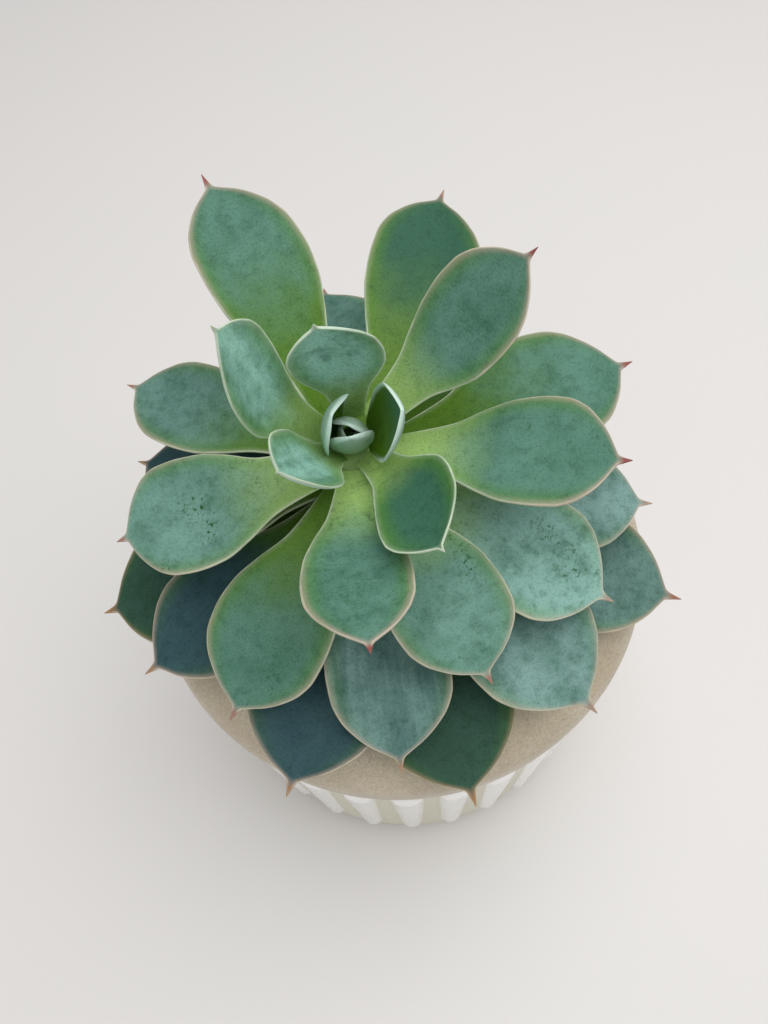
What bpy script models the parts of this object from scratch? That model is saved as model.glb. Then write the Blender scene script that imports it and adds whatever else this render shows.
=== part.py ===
"""A rosette succulent (echeveria habit) standing in a round stoneware pot.

The plant is built leaf by leaf: every leaf follows its neighbour round the stem by the
golden angle and sits a little lower, so the whorl is a spiral from the bud outwards.
The top of the stem nods forward (towards -Y), and the bud and the inner leaves are set
out round that leaning crown.

Units: sizes are in millimetres and are turned into metres when a mesh is made.
Frame: origin at the centre of the pot's base, +Z up, +X to the right of the plant's front.
"""

from math import cos, pi, radians, sin
from typing import NamedTuple

import bmesh
import bpy
from mathutils import Matrix, Vector

MM = 0.001

# --- pot -------------------------------------------------------------------------------
BASE_RADIUS = 49.0          # flat face that the pot stands on
WALL_FOOT_RADIUS = 55.8     # wall just above the rounded foot
WALL_TOP_RADIUS = 57.4      # wall under the collar
FOOT_HEIGHT = 9.0           # height of the foot's rounding
COLLAR_BOTTOM = 75.6        # the collar stands proud of the wall from here up
COLLAR_RADIUS = 60.0        # widest ring of the collar
COLLAR_WIDEST = 86.6        # height of that ring
COLLAR_DEPTH = 14.5         # how far the collar's curve reaches in from that ring
COLLAR_DROP = 26.0          # half-height of the curve under that ring
COLLAR_LOWER_ANGLE = -25    # where that curve meets the wall, in degrees
POT_HEIGHT = 98.0
MOUTH_RADIUS = 44.0         # opening of the pot
WALL = 5.0
FLOOR = 8.0
POT_SEGMENTS = 48

# --- soil and stem ---------------------------------------------------------------------
SOIL_TOP = 90.0
GAP = 0.35                  # air between touching pieces
STEM_ROOT = Vector((0.0, 0.0, 78.0))      # the stem's axis, below the soil
STEM_AXIS_TOP = Vector((-7.0, 2.0, 138.0))
STEM_RADIUS = 5.6
STEM_TIP_RADIUS = 1.6
STEM_SHOULDER = 126.0       # the stem tapers from here to its tip
STEM_TIP = 131.5
STEM_SEGMENTS = 16

# --- rosette ---------------------------------------------------------------------------
GOLDEN_ANGLE = 137.5
FIRST_AZIMUTH = 222.0       # leaf 0, in degrees from +X
TOP_LEAF_HEIGHT = 135.0     # where leaf 0 would leave the stem
LEAF_STEP = 0.85            # each leaf starts this much lower than the one before
STEM_LEAF_RADIUS = 6.1      # leaves start this far out from the stem's axis
CROWN = Vector((-6.7, 1.5, 134.0))        # middle of the crown that the inner leaves share
CROWN_NOD = 24.0            # the crown's axis leans this much towards -Y
CROWN_RADIUS = 3.6          # leaf 0 starts this far from the crown's axis
CROWN_SPREAD = 0.42         # and each next leaf this much further out
CROWN_FALL = 0.5            # and this much lower down the crown's axis
INNER_LEAVES = 5            # leaves -6 to 4 share the crown

# A leaf's half-width along its length, as a share of its greatest half-width.
LEAF_OUTLINE = ((0.0, 0.30), (0.15, 0.38), (0.28, 0.49), (0.42, 0.76), (0.63, 1.0), (0.80, 0.85),
                (0.915, 0.33), (0.95, 0.10), (1.0, 0.03))
LEAF_STATIONS = (0.0, 0.15, 0.30, 0.44, 0.54, 0.64, 0.74, 0.82, 0.875, 0.92, 0.95, 1.0)
LEAF_SECTION_POINTS = 10
LEAF_THICKNESS = 0.10       # thickness over width, where the leaf is widest
THIN_SHARE = 0.35           # share of that thickness that is left where the leaf is narrowest
FOOT_END = 0.2              # the foot is thinner still, from the base to here
FOOT_THINNING = 0.7
CURL_REACH = 1.6            # the edges curl up fully at 1 / CURL_REACH of the length
MIDRIB_STEPS = 40
TIP_SHIFT_START = 0.45      # a leaf's tip is drawn to one side from here on


class Leaf(NamedTuple):
    """One leaf: where it grows, how it lies and how large it is (degrees, mm)."""

    index: int              # place in the spiral, 0 for the first leaf outside the bud
    turn: float             # how far it strays from its spiral place
    rise: float             # slope at its base
    bend: float             # change of slope from base to tip
    length: float
    width: float
    roll: float = 0.0       # turn of the blade about its midrib
    sweep: float = 0.0      # sideways bend from base to tip
    cup: float = 22.0       # how far the edges curl up
    skew: float = 0.0       # tip's shift to the side, over half the width


LEAVES = (
    Leaf(-6, 0, 76, 30, 6.5, 4.5, cup=50),
    Leaf(-5, 0, 76, 34, 8.5, 6, cup=50),
    Leaf(-4, 10, 78, 44, 11.5, 8.5, cup=50),
    Leaf(-3, 0, 76, 28, 13.5, 10, cup=50),
    Leaf(-2, 18, 74, 34, 17, 13, cup=45),
    Leaf(-1, 0, 60, 24, 21, 15.5, cup=40),
    Leaf(0, 0, 66, 0, 29, 16, sweep=-3, cup=35, skew=-0.1),
    Leaf(1, 1, 64, 15, 32, 17.5, roll=9, sweep=10, cup=26, skew=0.4),
    Leaf(2, 0, 49, 0, 37, 18, cup=30, skew=-0.5),
    Leaf(3, -10, 56, 13, 39.5, 16, sweep=-5, cup=28, skew=-0.7),
    Leaf(4, 3, 30, 6, 46, 20, roll=-3, sweep=-8, cup=27, skew=0.2),
    Leaf(5, 9.5, 15, 10, 46.5, 20, sweep=10, cup=20, skew=0.1),
    Leaf(6, -3, 32, -4, 58.5, 24, roll=4, sweep=4, cup=26),
    Leaf(7, 7, 13, 0, 48, 26, sweep=-8, cup=17, skew=-0.1),
    Leaf(8, -7, -1, -20, 48.5, 27.5, roll=-4, sweep=-5, cup=24, skew=-0.2),
    Leaf(9, -2, 21, -12, 59.5, 26, roll=5, cup=27, skew=0.3),
    Leaf(10, 6, -9, -8, 47, 25),
    Leaf(11, 0, -5, -3, 57, 24, sweep=2, cup=20, skew=-0.2),
    Leaf(12, 2.5, 7, -4, 55.5, 28.5, roll=2, sweep=-3),
    Leaf(13, 1, -12, -2, 52, 26, cup=15, skew=0.1),
    Leaf(14, -2, -6, -7, 57.5, 26.5),
    Leaf(15, 5, -6, -6, 52, 27.5),
    Leaf(16, 2, -10, -4, 43, 23),
    Leaf(17, 0, -8, -6, 46, 24),
    Leaf(18, 2, -13, 2, 55.5, 25.5, sweep=3),
    Leaf(19, 0, -12, -4, 52, 25),
    Leaf(20, -1, -8, -1, 57, 27.5, roll=3),
    Leaf(21, 0, -13, 2, 56.5, 26.5, sweep=-3),
    Leaf(22, 0, -9, -4, 54, 25),
    Leaf(23, 8.5, -6, -5, 60.5, 29.5, sweep=-3),
    Leaf(24, -2, -14, 2, 57.5, 26, roll=5, sweep=-5),
    Leaf(25, 0, -9, -4, 54, 26),
    Leaf(26, 4, -10, 4, 60, 29, roll=-3, sweep=-4),
    Leaf(27, 0, -8, -4, 54, 26),
    Leaf(28, 2, -10, 2, 65, 30, roll=4, sweep=3),
    Leaf(29, 1, -8, -6, 61.5, 31, roll=-4, sweep=-5),
    Leaf(30, 0, -6, -3, 54, 26),
    Leaf(31, 1.5, -6, -8, 62, 30, roll=2),
)


def clear_scene():
    """Remove whatever objects the file opened with."""
    for thing in list(bpy.data.objects):
        bpy.data.objects.remove(thing, do_unlink=True)


def make_material(name, color, roughness):
    """Return a plain Principled material."""
    material = bpy.data.materials.new(name)
    material.use_nodes = True
    shader = material.node_tree.nodes["Principled BSDF"]
    shader.inputs["Base Color"].default_value = (*color, 1.0)
    shader.inputs["Roughness"].default_value = roughness
    shader.inputs["Metallic"].default_value = 0.0
    return material


def add_object(name, mesh_builder, material):
    """Turn a bmesh into a named, smooth-shaded object with its material."""
    bmesh.ops.recalc_face_normals(mesh_builder, faces=mesh_builder.faces)
    mesh = bpy.data.meshes.new(name)
    mesh_builder.to_mesh(mesh)
    mesh_builder.free()
    mesh.shade_smooth()
    mesh.set_sharp_from_angle(angle=radians(40))
    mesh.materials.append(material)
    thing = bpy.data.objects.new(name, mesh)
    bpy.context.scene.collection.objects.link(thing)
    return thing


def spin_profile(profile, segments):
    """Turn a profile of (radius, height) points about Z; both ends lie on the axis."""
    builder = bmesh.new()
    points = [builder.verts.new((radius * MM, 0.0, height * MM)) for radius, height in profile]
    for start, end in zip(points, points[1:]):
        builder.edges.new((start, end))
    bmesh.ops.spin(builder, geom=builder.verts[:] + builder.edges[:], axis=(0, 0, 1), cent=(0, 0, 0),
                   angle=2 * pi, steps=segments, use_merge=True)
    bmesh.ops.remove_doubles(builder, verts=builder.verts, dist=0.01 * MM)
    return builder


def arc(center, semi_axes, start, end, steps):
    """Points of an ellipse's arc, from one angle to another, in degrees."""
    angles = [radians(start + (end - start) * step / steps) for step in range(steps + 1)]
    return [(center[0] + semi_axes[0] * cos(angle), center[1] + semi_axes[1] * sin(angle)) for angle in angles]


def cavity_profile(gap):
    """The pot's inner wall from the middle of its floor up to the mouth, drawn in by a gap."""
    wall = WALL_TOP_RADIUS - WALL
    foot = WALL_FOOT_RADIUS - WALL
    return [(0.0, FLOOR + gap), (foot - 4.0 - gap, FLOOR + gap), (foot - gap, FLOOR + 4.0 + gap),
            (wall - gap, COLLAR_BOTTOM + 2.0 - gap), (MOUTH_RADIUS - gap, COLLAR_WIDEST - gap)]


def build_pot(material):
    """Rounded foot, near-upright wall and a proud, rounded collar that turns in to the mouth."""
    foot_rise = (WALL_FOOT_RADIUS - BASE_RADIUS, FOOT_HEIGHT)
    foot = arc((BASE_RADIUS, FOOT_HEIGHT), foot_rise, -90, 0, 4)
    collar_middle = (COLLAR_RADIUS - COLLAR_DEPTH, COLLAR_WIDEST)
    under = arc(collar_middle, (COLLAR_DEPTH, COLLAR_DROP), COLLAR_LOWER_ANGLE, 0, 3)
    shoulder = arc(collar_middle, (COLLAR_DEPTH, POT_HEIGHT - COLLAR_WIDEST), 0, 90, 6)
    profile = [(0.0, 0.0), *foot, (WALL_TOP_RADIUS, COLLAR_BOTTOM - 0.4), *under, *shoulder[1:],
               (MOUTH_RADIUS + 0.4, POT_HEIGHT - 0.5), (MOUTH_RADIUS, POT_HEIGHT - 1.6),
               *reversed(cavity_profile(0.0))]
    return add_object("pot", spin_profile(profile, POT_SEGMENTS), material)


def build_soil(material):
    """Potting mix filling the pot, with a hole where the stem goes down into it."""
    profile = [*cavity_profile(GAP), (MOUTH_RADIUS - GAP, SOIL_TOP - 1.0), (MOUTH_RADIUS - 8.0, SOIL_TOP),
               (0.0, SOIL_TOP)]
    soil = add_object("potting_soil", spin_profile(profile, POT_SEGMENTS), material)
    hole = add_object("stem_hole_cutter", stem_mesh(GAP), material)
    hole.hide_render = True
    hole.display_type = "WIRE"
    cut = soil.modifiers.new("stem_hole", "BOOLEAN")
    cut.operation = "DIFFERENCE"
    cut.object = hole
    return soil


def axis_point(height):
    """The point of the stem's axis at a height."""
    share = (height - STEM_ROOT.z) / (STEM_AXIS_TOP.z - STEM_ROOT.z)
    return STEM_ROOT.lerp(STEM_AXIS_TOP, share)


def stem_mesh(grow):
    """The leaning stem from its foot to its tapered tip, grown all round by a gap."""
    sizes = ((STEM_ROOT.z - grow, STEM_RADIUS + grow), (SOIL_TOP + 8.0, STEM_RADIUS + grow),
             (110.0, STEM_RADIUS - 0.3 + grow), (STEM_SHOULDER, STEM_RADIUS - 0.8 + grow),
             (STEM_TIP, STEM_TIP_RADIUS + grow))
    rings = []
    for height, radius in sizes:
        turns = [2 * pi * step / STEM_SEGMENTS for step in range(STEM_SEGMENTS)]
        rings.append([axis_point(height) + Vector((cos(turn), sin(turn), 0.0)) * radius for turn in turns])
    return loft(rings)


def loft(rings):
    """Return a closed bmesh drawn through rings of points, each ring bridged to the next."""
    builder = bmesh.new()
    loops = []
    for ring in rings:
        verts = bmesh.ops.create_circle(builder, segments=len(ring), radius=MM)["verts"]
        for vert, point in zip(verts, ring):
            vert.co = point * MM
        loops.append({edge for vert in verts for edge in vert.link_edges})
    for lower, upper in zip(loops, loops[1:]):
        bmesh.ops.bridge_loops(builder, edges=list(lower | upper))
    for end in (loops[0], loops[-1]):
        bmesh.ops.edgeloop_fill(builder, edges=list(end))
    return builder


def smooth_step(value):
    """0 to 1 with a level start and end."""
    value = min(max(value, 0.0), 1.0)
    return value * value * (3.0 - 2.0 * value)


def outline_share(along):
    """Half-width at a place along the leaf, eased between the outline's points."""
    for (start, low), (end, high) in zip(LEAF_OUTLINE, LEAF_OUTLINE[1:]):
        if along <= end:
            share = (along - start) / (end - start)
            return low + (high - low) * (smooth_step(share) + share) / 2
    return LEAF_OUTLINE[-1][1]


def leaf_root(leaf):
    """Matrix of a leaf's foot: X outwards, Y to its left and Z up along the axis it grows on."""
    azimuth = radians(FIRST_AZIMUTH - GOLDEN_ANGLE * leaf.index + leaf.turn)
    facing = Matrix.Rotation(azimuth, 4, "Z")
    if leaf.index < INNER_LEAVES:
        outward = CROWN_RADIUS + CROWN_SPREAD * leaf.index
        level = Matrix.Translation(Vector((outward, 0.0, -CROWN_FALL * max(leaf.index, 0))))
        nod = Matrix.Translation(CROWN) @ Matrix.Rotation(radians(CROWN_NOD), 4, "X")
        return nod @ facing @ level
    height = TOP_LEAF_HEIGHT - LEAF_STEP * leaf.index
    outward = Matrix.Translation(Vector((STEM_LEAF_RADIUS, 0.0, 0.0)))
    return Matrix.Translation(axis_point(height)) @ facing @ outward


def leaf_frames(leaf):
    """Midrib points with their sideways and upward directions, in the leaf's own frame."""
    point = Vector((0.0, 0.0, 0.0))
    frames = []
    for step in range(MIDRIB_STEPS + 1):
        along = step / MIDRIB_STEPS
        slope = radians(leaf.rise + leaf.bend * along)
        yaw = radians(leaf.sweep * along)
        forward = Vector((cos(yaw) * cos(slope), sin(yaw) * cos(slope), sin(slope)))
        level = Vector((-sin(yaw), cos(yaw), 0.0))
        above = forward.cross(level)
        turned = Matrix.Rotation(radians(leaf.roll), 3, forward)
        frames.append((point.copy(), turned @ level, turned @ above))
        point += forward * (leaf.length / MIDRIB_STEPS)
    return frames


def leaf_ring(leaf, frames, along):
    """One closed cross-section: a shallow upper face, a fuller back and rounded edges."""
    point, side, above = frames[round(along * (len(frames) - 1))]
    half_width = outline_share(along) * leaf.width / 2
    edge_curl = radians(leaf.cup) * min(along * CURL_REACH, 1.0) ** 0.5 + 1e-4
    bend_radius = half_width / edge_curl
    depth = LEAF_THICKNESS * leaf.width * (THIN_SHARE + (1.0 - THIN_SHARE) * outline_share(along))
    if along < FOOT_END:
        depth *= FOOT_THINNING
    drift = leaf.skew * smooth_step((along - TIP_SHIFT_START) / (1.0 - TIP_SHIFT_START)) * leaf.width / 2
    ring = []
    for place in range(LEAF_SECTION_POINTS):
        angle = 2 * pi * place / LEAF_SECTION_POINTS
        across = cos(angle)
        curl = across * edge_curl
        lift = bend_radius * (1.0 - cos(curl)) - depth * (0.5 - 0.5 * sin(angle))
        ring.append(point + side * (bend_radius * sin(curl) + drift) + above * lift)
    return ring


def build_leaf(leaf, material):
    """A closed fleshy blade, from its narrow foot to its pointed tip."""
    frames = leaf_frames(leaf)
    root = leaf_root(leaf)
    rings = [[root @ point for point in leaf_ring(leaf, frames, along)] for along in LEAF_STATIONS]
    name = f"bud_leaf_{leaf.index + 7}" if leaf.index < 0 else f"leaf_{leaf.index + 1:02d}"
    return add_object(name, loft(rings), material)


def leaf_color(index):
    """Fresh green in the bud, blue-green in the whorl, slate on the oldest leaves."""
    if index < 0:
        return (0.30, 0.45, 0.34)
    if index < 18:
        return (0.17, 0.30, 0.22)
    return (0.10, 0.18, 0.15)


def main():
    clear_scene()
    build_pot(make_material("stoneware", (0.52, 0.46, 0.34), 0.45))
    build_soil(make_material("soil", (0.05, 0.035, 0.025), 0.95))
    add_object("stem", stem_mesh(0.0), make_material("stem_bark", (0.25, 0.20, 0.12), 0.8))
    for leaf in LEAVES:
        build_leaf(leaf, make_material(f"leaf_skin_{leaf.index + 7:02d}", leaf_color(leaf.index), 0.55))


main()
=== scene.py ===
"""The looks of a rosette succulent in a round stoneware pot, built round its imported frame.

Shapes are worked out in millimetres and turned into metres when a mesh is made. The frame's
origin is the centre of the pot's base, with +Z up and the plant's front towards -Y.
"""

import logging
import math
from dataclasses import dataclass, field
from enum import Enum
from typing import NamedTuple, Optional, Union

import bmesh
import bpy
import numpy as np
from mathutils import Euler, Matrix, Vector, noise


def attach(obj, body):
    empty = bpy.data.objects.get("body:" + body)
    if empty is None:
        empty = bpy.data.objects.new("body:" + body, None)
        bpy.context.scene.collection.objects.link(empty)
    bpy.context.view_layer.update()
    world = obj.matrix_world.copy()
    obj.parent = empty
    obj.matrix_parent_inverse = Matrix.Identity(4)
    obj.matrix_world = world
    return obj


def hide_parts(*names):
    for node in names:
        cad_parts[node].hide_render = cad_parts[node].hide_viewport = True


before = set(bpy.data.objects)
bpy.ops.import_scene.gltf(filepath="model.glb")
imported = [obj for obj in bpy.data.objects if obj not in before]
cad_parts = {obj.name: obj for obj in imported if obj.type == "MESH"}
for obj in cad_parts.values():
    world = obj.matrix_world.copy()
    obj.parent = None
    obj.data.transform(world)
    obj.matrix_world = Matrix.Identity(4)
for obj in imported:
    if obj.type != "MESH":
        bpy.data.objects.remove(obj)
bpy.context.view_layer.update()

log = logging.getLogger("potted_succulent")

MM = 0.001
Color = tuple[float, float, float]
Points = np.ndarray


# ---- Small geometry helpers ----
def smooth_step(value: Points, start: float, end: float) -> Points:
    """Ease from 0 at start to 1 at end.

    Args:
        value: Numbers to ease.
        start: Where the result is still 0.
        end: Where the result has reached 1.

    Returns:
        The eased shares, from 0 to 1.
    """
    share = np.clip((np.asarray(value, float) - start) / (end - start), 0.0, 1.0)
    return share * share * (3.0 - 2.0 * share)


def arc(center: tuple[float, float], semi_axes: tuple[float, float], start: float, end: float,
        steps: int) -> list[tuple[float, float]]:
    """Walk along an ellipse's arc in the (radius, height) plane.

    Args:
        center: Middle of the ellipse.
        semi_axes: Its half-sizes across and up.
        start: First angle, in degrees from the outward direction.
        end: Last angle, in degrees.
        steps: Number of pieces the arc is cut into.

    Returns:
        The arc's points, both ends included.
    """
    angles = np.radians(np.linspace(start, end, steps + 1))
    return [(center[0] + semi_axes[0] * math.cos(a), center[1] + semi_axes[1] * math.sin(a)) for a in angles]


def read_points(mesh: bpy.types.Mesh) -> Points:
    """Return a mesh's vertices in millimetres."""
    flat = np.zeros(len(mesh.vertices) * 3)
    mesh.vertices.foreach_get("co", flat)
    return flat.reshape(-1, 3) / MM


def write_points(mesh: bpy.types.Mesh, points: Points) -> None:
    """Move a mesh's vertices to points given in millimetres."""
    mesh.vertices.foreach_set("co", (points * MM).astype(np.float32).ravel())
    mesh.update()


def paint_number(mesh: bpy.types.Mesh, name: str, values: Points) -> None:
    """Store one number on every vertex, for a material to read."""
    layer = mesh.attributes.new(name, "FLOAT", "POINT")
    layer.data.foreach_set("value", np.asarray(values, np.float32).ravel())


def paint_vector(mesh: bpy.types.Mesh, name: str, *columns: Union[Points, float]) -> None:
    """Store three numbers on every vertex, for a material to read."""
    count = len(mesh.vertices)
    layer = mesh.attributes.new(name, "FLOAT_VECTOR", "POINT")
    rows = np.stack([np.broadcast_to(column, count) for column in columns], axis=1)
    layer.data.foreach_set("vector", rows.astype(np.float32).ravel())


def finish_piece(name: str, builder: bmesh.types.BMesh, material: bpy.types.Material, slot: str,
                 replaces: tuple[str, ...] = (), sharp_angle: float = 60.0) -> bpy.types.Object:
    """Turn a bmesh into a smooth-shaded piece that rides on the part's one body.

    Args:
        name: Name of the piece.
        builder: The finished bmesh, in metres; it is freed.
        material: Its finish.
        slot: Material slot of the record that the finish belongs to; not used.
        replaces: CAD nodes that the piece stands for.
        sharp_angle: Edges steeper than this stay crisp, in degrees.

    Returns:
        The new object.
    """
    mesh = bpy.data.meshes.new(name)
    builder.to_mesh(mesh)
    builder.free()
    mesh.shade_smooth()
    mesh.set_sharp_from_angle(angle=math.radians(sharp_angle))
    mesh.materials.append(material)
    piece = bpy.data.objects.new(name, mesh)
    bpy.context.scene.collection.objects.link(piece)
    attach(piece, "root")
    if replaces:
        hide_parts(*replaces)
    log.info("%s: %d vertices", name, len(mesh.vertices))
    return piece


def spin_profile(profile: list[tuple[float, float]], segments: int) -> bmesh.types.BMesh:
    """Turn a profile whose two ends lie on the Z axis into a closed shell.

    Args:
        profile: (radius, height) points in millimetres.
        segments: Steps round the axis.

    Returns:
        The closed bmesh, in metres, with its faces pointing out.
    """
    builder = bmesh.new()
    points = [builder.verts.new((radius * MM, 0.0, height * MM)) for radius, height in profile]
    for start, end in zip(points, points[1:]):
        builder.edges.new((start, end))
    bmesh.ops.spin(builder, geom=builder.verts[:] + builder.edges[:], axis=(0, 0, 1), cent=(0, 0, 0),
                   angle=2 * math.pi, steps=segments, use_merge=True)
    bmesh.ops.remove_doubles(builder, verts=builder.verts, dist=0.002 * MM)
    bmesh.ops.recalc_face_normals(builder, faces=builder.faces)
    return builder


def unit_tube(segments: int, stations: int) -> bmesh.types.BMesh:
    """Return a capped tube of radius 1 from z 0 to z 1, cut into equal rings along its length."""
    builder = bmesh.new()
    bmesh.ops.create_cone(builder, cap_ends=True, segments=segments, radius1=1.0, radius2=1.0, depth=1.0)
    bmesh.ops.translate(builder, verts=builder.verts, vec=(0.0, 0.0, 0.5))
    lengthwise = [edge for edge in builder.edges if edge.calc_length() > 0.99
                  and abs(edge.verts[0].co.z - edge.verts[1].co.z) > 0.5]
    bmesh.ops.subdivide_edges(builder, edges=lengthwise, cuts=stations - 1)
    return builder


# ---- Shader graph ----
Input = Union["Wire", bpy.types.NodeSocket, float, tuple]


class Wire:
    """A number socket that Python's operators can combine into Math nodes."""

    def __init__(self, graph: "Graph", socket: bpy.types.NodeSocket) -> None:
        """Wrap a socket of a graph."""
        self.graph = graph
        self.socket = socket

    def __add__(self, other: Input) -> "Wire":
        """self + other."""
        return self.graph.math("ADD", self, other)

    def __sub__(self, other: Input) -> "Wire":
        """self - other."""
        return self.graph.math("SUBTRACT", self, other)

    def __mul__(self, other: Input) -> "Wire":
        """self * other."""
        return self.graph.math("MULTIPLY", self, other)

    def __rsub__(self, other: Input) -> "Wire":
        """other - self."""
        return self.graph.math("SUBTRACT", other, self)

    __radd__ = __add__
    __rmul__ = __mul__


class Graph:
    """A material's node tree, with short ways to add the nodes that a finish needs."""

    def __init__(self, name: str) -> None:
        """Start a material with one Principled shader."""
        self.material = bpy.data.materials.new(name)
        self.material.use_nodes = True
        self.tree = self.material.node_tree
        self.shader = self.tree.nodes["Principled BSDF"]

    def node(self, kind: str, settings: Optional[dict] = None,
             inputs: Optional[dict[Union[int, str], Input]] = None) -> bpy.types.Node:
        """Add a node, set it up and fill its sockets.

        Args:
            kind: Blender's type name of the node.
            settings: Its properties, such as a Math node's operation.
            inputs: Values or links, by socket name or number.

        Returns:
            The node.
        """
        made = self.tree.nodes.new(kind)
        for name, value in (settings or {}).items():
            setattr(made, name, value)
        for key, value in (inputs or {}).items():
            self.feed(made.inputs[key], value)
        return made

    def feed(self, socket: bpy.types.NodeSocket, value: Input) -> None:
        """Link a socket, or set its value."""
        if isinstance(value, Wire):
            self.tree.links.new(value.socket, socket)
        elif isinstance(value, bpy.types.NodeSocket):
            self.tree.links.new(value, socket)
        elif socket.type == "RGBA":
            socket.default_value = (*value, 1.0)
        else:
            socket.default_value = value

    def math(self, operation: str, *values: Input) -> Wire:
        """Combine numbers with one Math node."""
        made = self.node("ShaderNodeMath", {"operation": operation}, dict(enumerate(values)))
        return Wire(self, made.outputs[0])

    def ease(self, value: Input, start: float, end: float) -> Wire:
        """Go smoothly from 0 where value is start to 1 where it is end."""
        flipped = start > end
        made = self.node("ShaderNodeMapRange", {"interpolation_type": "SMOOTHSTEP"},
                         {"Value": value, "From Min": min(start, end), "From Max": max(start, end)})
        wire = Wire(self, made.outputs["Result"])
        return 1.0 - wire if flipped else wire

    def blend(self, factor: Input, first: Input, second: Input, mode: str = "MIX") -> bpy.types.NodeSocket:
        """Mix two colors.

        Args:
            factor: Share of the second color.
            first: Color where the factor is 0.
            second: Color where the factor is 1.
            mode: Blender's blend type.

        Returns:
            The mixed color's socket.
        """
        made = self.node("ShaderNodeMix", {"data_type": "RGBA", "blend_type": mode},
                         {0: factor, 6: first, 7: second})
        return made.outputs[2]

    def attribute(self, name: str) -> bpy.types.Node:
        """Read an attribute painted on the mesh."""
        return self.node("ShaderNodeAttribute", {"attribute_name": name})

    def number(self, name: str) -> Wire:
        """Read a one-number attribute."""
        return Wire(self, self.attribute(name).outputs["Fac"])

    def parts(self, vector: Input) -> tuple[Wire, Wire, Wire]:
        """Split a vector into its three numbers."""
        made = self.node("ShaderNodeSeparateXYZ", inputs={0: vector})
        return Wire(self, made.outputs[0]), Wire(self, made.outputs[1]), Wire(self, made.outputs[2])

    def millimetres(self) -> bpy.types.NodeSocket:
        """Return the place on the object, in millimetres."""
        return self.stretch(self.node("ShaderNodeTexCoord").outputs["Object"], (1.0 / MM,) * 3)

    def stretch(self, vector: Input, factors: Color) -> bpy.types.NodeSocket:
        """Multiply a vector's three numbers by fixed factors."""
        made = self.node("ShaderNodeVectorMath", {"operation": "MULTIPLY"}, {0: vector, 1: factors})
        return made.outputs[0]

    def noise(self, vector: Input, scale: float, detail: float = 3.0, roughness: float = 0.5) -> Wire:
        """Smooth random values about 0.5."""
        made = self.node("ShaderNodeTexNoise", inputs={"Vector": vector, "Scale": scale, "Detail": detail,
                                                       "Roughness": roughness})
        return Wire(self, made.outputs["Fac"])

    def dots(self, vector: Input, scale: float) -> Wire:
        """Distance to the nearest of many scattered points, in cells."""
        made = self.node("ShaderNodeTexVoronoi", inputs={"Vector": vector, "Scale": scale})
        return Wire(self, made.outputs["Distance"])

    def bump(self, height: Input, depth: float, strength: float = 1.0) -> bpy.types.NodeSocket:
        """Bend the normal by a height that is given as a share of depth, in millimetres."""
        made = self.node("ShaderNodeBump", inputs={"Height": height, "Distance": depth * MM,
                                                   "Strength": strength})
        return made.outputs["Normal"]

    def finish(self, color: Input, roughness: Input, normal: Input = None,
               **constants: Input) -> bpy.types.Material:
        """Connect the shader.

        Args:
            color: Base color.
            roughness: Roughness.
            normal: Bumped normal, if there is one.
            **constants: Other sockets by name, with underscores for spaces.

        Returns:
            The material.
        """
        self.feed(self.shader.inputs["Base Color"], color)
        self.feed(self.shader.inputs["Roughness"], roughness)
        if normal is not None:
            self.feed(self.shader.inputs["Normal"], normal)
        for name, value in constants.items():
            self.feed(self.shader.inputs[name.replace("_", " ")], value)
        return self.material


# ---- Finishes ----
@dataclass(frozen=True)
class LeafSkin:
    """Waxy leaf skin: blue-green flesh, pale bloom, yellow-green foot, cream margin, red point."""

    flesh: Color = (0.050, 0.158, 0.098)
    slate: Color = (0.017, 0.056, 0.074)
    moss: Color = (0.014, 0.054, 0.028)
    bloom: Color = (0.205, 0.345, 0.325)
    young_bloom: Color = (0.330, 0.620, 0.520)
    back: Color = (0.300, 0.460, 0.410)
    young_back: Color = (0.600, 0.780, 0.700)
    pale_foot: Color = (0.365, 0.555, 0.165)
    # painted shade: the dark, saturated foot colour of leaves whose feet lie under other leaves
    shaded_foot: Color = (0.088, 0.195, 0.002)
    # painted glow: the yellow-green of light shining through the thin flanks
    glow: Color = (0.085, 0.230, 0.025)
    cream: Color = (0.600, 0.590, 0.440)
    young_cream: Color = (0.600, 0.720, 0.560)
    rose: Color = (0.500, 0.330, 0.290)
    rust: Color = (0.330, 0.170, 0.070)
    point: Color = (0.260, 0.055, 0.060)
    scuff: Color = (0.020, 0.085, 0.020)
    mottle: Color = (0.250, 0.360, 0.300)

    def build(self) -> bpy.types.Material:
        """Return the skin that all leaves share; its tones are painted on each leaf."""
        painter = SkinPainter(self)
        painter.add_bloom()
        painter.add_foot()
        painter.add_wear()
        painter.add_back()
        painter.add_margin()
        return painter.finish()


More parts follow.
